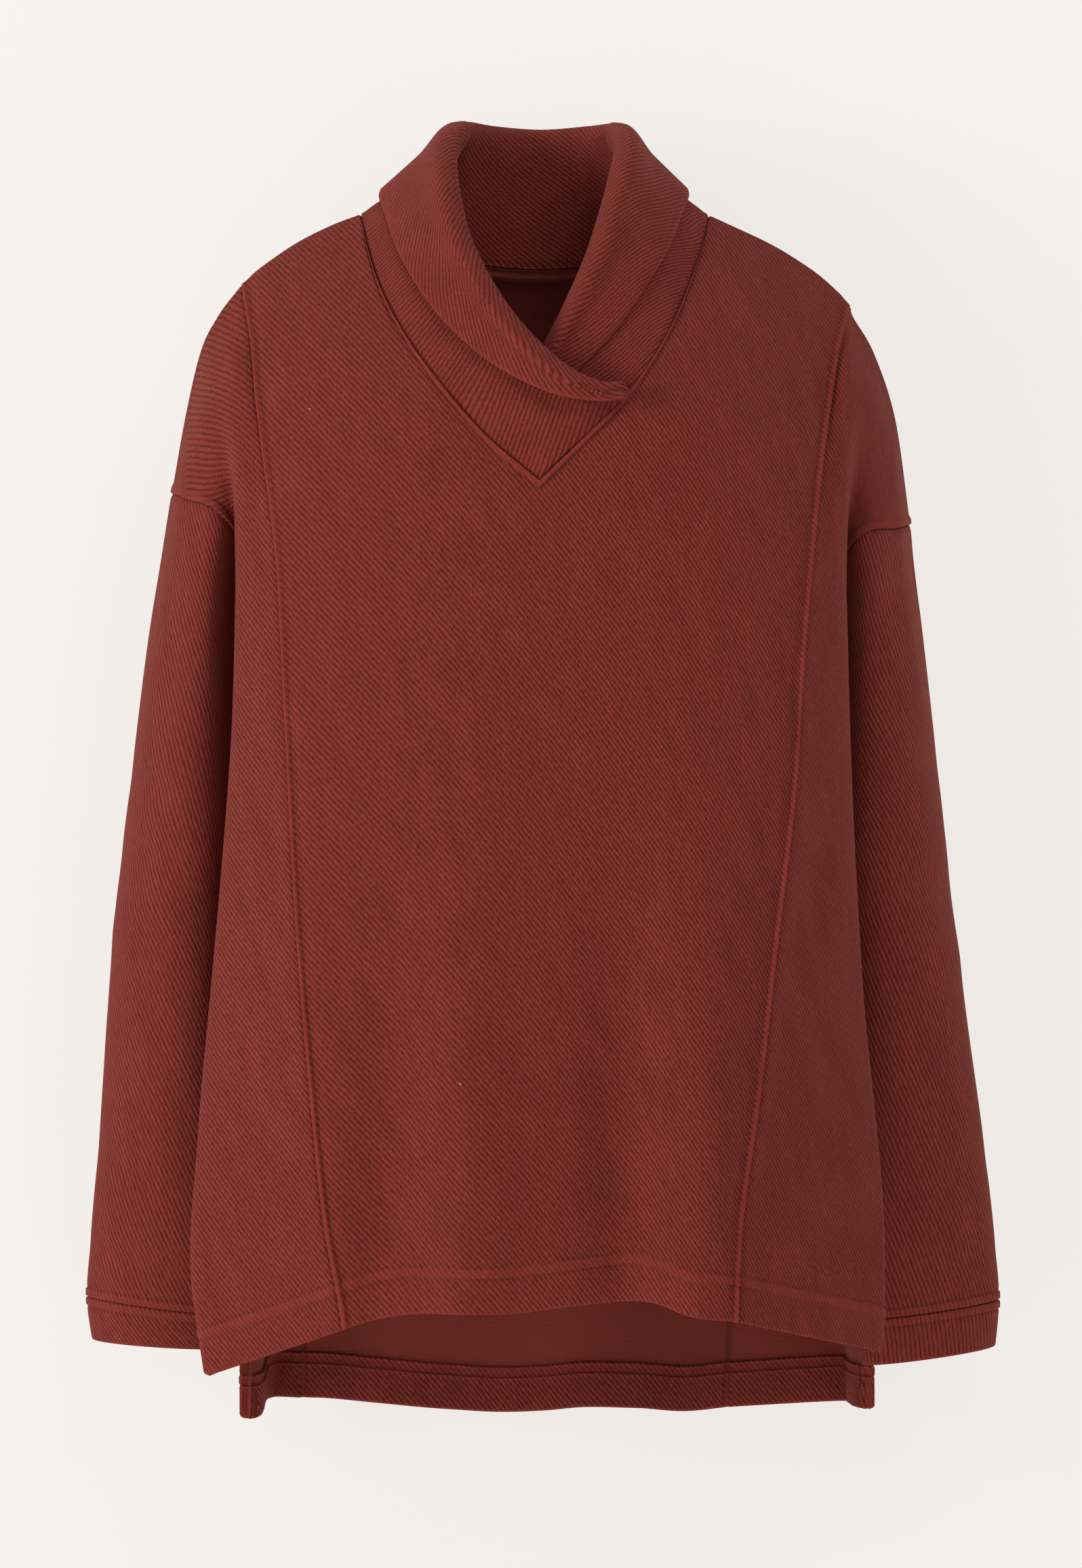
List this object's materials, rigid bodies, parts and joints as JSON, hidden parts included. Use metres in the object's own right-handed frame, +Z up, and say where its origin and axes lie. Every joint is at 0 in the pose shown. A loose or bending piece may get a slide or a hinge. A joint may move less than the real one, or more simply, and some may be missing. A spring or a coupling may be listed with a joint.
{
  "type": "shawl collar tunic",
  "caption": "Long-sleeved knit tunic filled out as worn, with a crossed shawl collar, panel seams, dropped shoulders, cuff bands, side vents and a longer back.",
  "frame": {"origin": "middle of the neck opening, at the height of the shoulder neck points", "axes": "+Z up along the length of the tunic, -Y out of its front, +X to the right of a viewer who faces the front"},
  "size_m": [0.5586, 0.2377, 0.7988],
  "materials": {
    "knit": "heavy brushed twill-faced knit, rust red",
    "neck_tape": "smooth knit tape, rust red"
  },
  "bodies": {
    "root": {"front_centre": "knit", "front_side_left": "knit", "front_side_right": "knit", "back_centre": "knit", "back_side_left": "knit", "back_side_right": "knit", "sleeve_left": "knit", "sleeve_right": "knit", "cuff_left": "knit", "cuff_right": "knit", "collar": "knit", "neck_tape": "neck_tape"}
  },
  "joints": []
}
